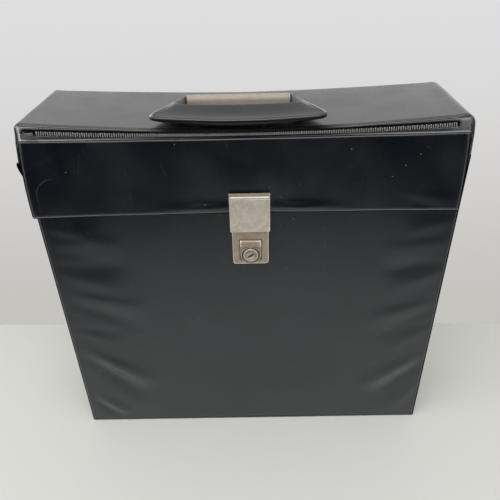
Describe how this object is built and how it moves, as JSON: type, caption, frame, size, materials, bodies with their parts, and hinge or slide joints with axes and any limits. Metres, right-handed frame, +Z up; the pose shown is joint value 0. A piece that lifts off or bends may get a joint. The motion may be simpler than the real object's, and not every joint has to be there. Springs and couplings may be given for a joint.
{
  "type": "record carrying case",
  "caption": "Upright flat carrying case for twelve-inch records, with a hinged lid and long front flap, zipped lid pocket, folding handle and a hasp latch with key lock.",
  "frame": {"origin": "centre of the flat base", "axes": "+X to the right seen from the front, +Y to the back, +Z up"},
  "size_m": [0.354, 0.1051, 0.3455],
  "materials": {
    "vinyl": "satin black heat-sealed sheet",
    "board": "grey chipboard",
    "lining": "thin black sheet, fine grain",
    "zip_tape": "woven black tape",
    "zip_metal": "dull metal teeth",
    "handle_vinyl": "satin black moulded vinyl",
    "steel": "plain steel",
    "nickel": "aged satin nickel plate"
  },
  "bodies": {
    "case": {"front_cover": "vinyl", "back_cover": "vinyl", "left_cover": "vinyl", "right_cover": "vinyl", "bottom_cover": "vinyl", "front_board": "board", "back_board": "board", "left_board": "board", "right_board": "board", "bottom_board": "board", "body_lining": "lining", "hinge_strip_case": "vinyl", "lock_base_plate": "steel", "lock_case": "nickel", "lock_backplate": "steel", "lock_rivets": "steel"},
    "lid": {"lid_top_cover": "vinyl", "lid_top_board": "board", "lid_front_band": "vinyl", "lid_left_cover": "vinyl", "lid_right_cover": "vinyl", "lid_left_board": "board", "lid_right_board": "board", "lid_rear_board": "board", "hinge_strip_lid": "vinyl", "pocket_floor_board": "board", "lid_lining": "lining", "flap_cover": "vinyl", "flap_board": "board", "zip_tape_upper": "zip_tape", "zip_tape_lower": "zip_tape", "zip_teeth": "zip_metal", "zip_end_stops": "zip_metal", "handle_bracket": "nickel", "handle_rivets": "steel", "handle_backplate": "steel", "hasp_leaf": "nickel", "hasp_rivets": "steel", "hasp_pin": "steel"},
    "handle": {"handle_grip": "handle_vinyl", "handle_axle": "steel"},
    "hasp": {"hasp_plate": "nickel", "hasp_striker": "nickel"},
    "latch_slide": {"latch_button": "nickel", "fork_bolt": "steel", "lock_cylinder": "nickel"},
    "key_plug": {"key_plug": "nickel"},
    "zip_slider": {"zip_slider": "zip_metal"},
    "zip_pull": {"zip_pull": "zip_metal"}
  },
  "joints": [
    {"name": "lid_hinge", "type": "hinge", "parent": "case", "child": "lid", "pos_m": [0, 0.0478, 0.3252], "axis": [-1, 0, 0], "range_deg": [0, 175]},
    {"name": "handle_fold", "type": "hinge", "parent": "lid", "child": "handle", "pos_m": [-0.0048, 0, 0.34084], "axis": [-1, 0, 0], "range_deg": [0, 180]},
    {"name": "hasp_swing", "type": "hinge", "parent": "lid", "child": "hasp", "pos_m": [0.0027, -0.0528, 0.2783], "axis": [-1, 0, 0], "range_deg": [0, 170]},
    {"name": "latch_lift", "type": "slide", "parent": "case", "child": "latch_slide", "axis": [0, 0, 1], "range_m": [0, 0.004]},
    {"name": "key_turn", "type": "hinge", "parent": "latch_slide", "child": "key_plug", "pos_m": [0.0027, -0.0573, 0.223], "axis": [0, 1, 0], "range_deg": [0, 90]},
    {"name": "zip_travel", "type": "hinge", "parent": "lid", "child": "zip_slider", "pos_m": [0, -0.0499, 3.34931], "axis": [0, -1, 0], "range_deg": [0, 6.12]},
    {"name": "pull_swing", "type": "hinge", "parent": "zip_slider", "child": "zip_pull", "pos_m": [-0.1635, -0.052, 0.3322], "axis": [0, 0, 1], "range_deg": [0, 170]}
  ]
}
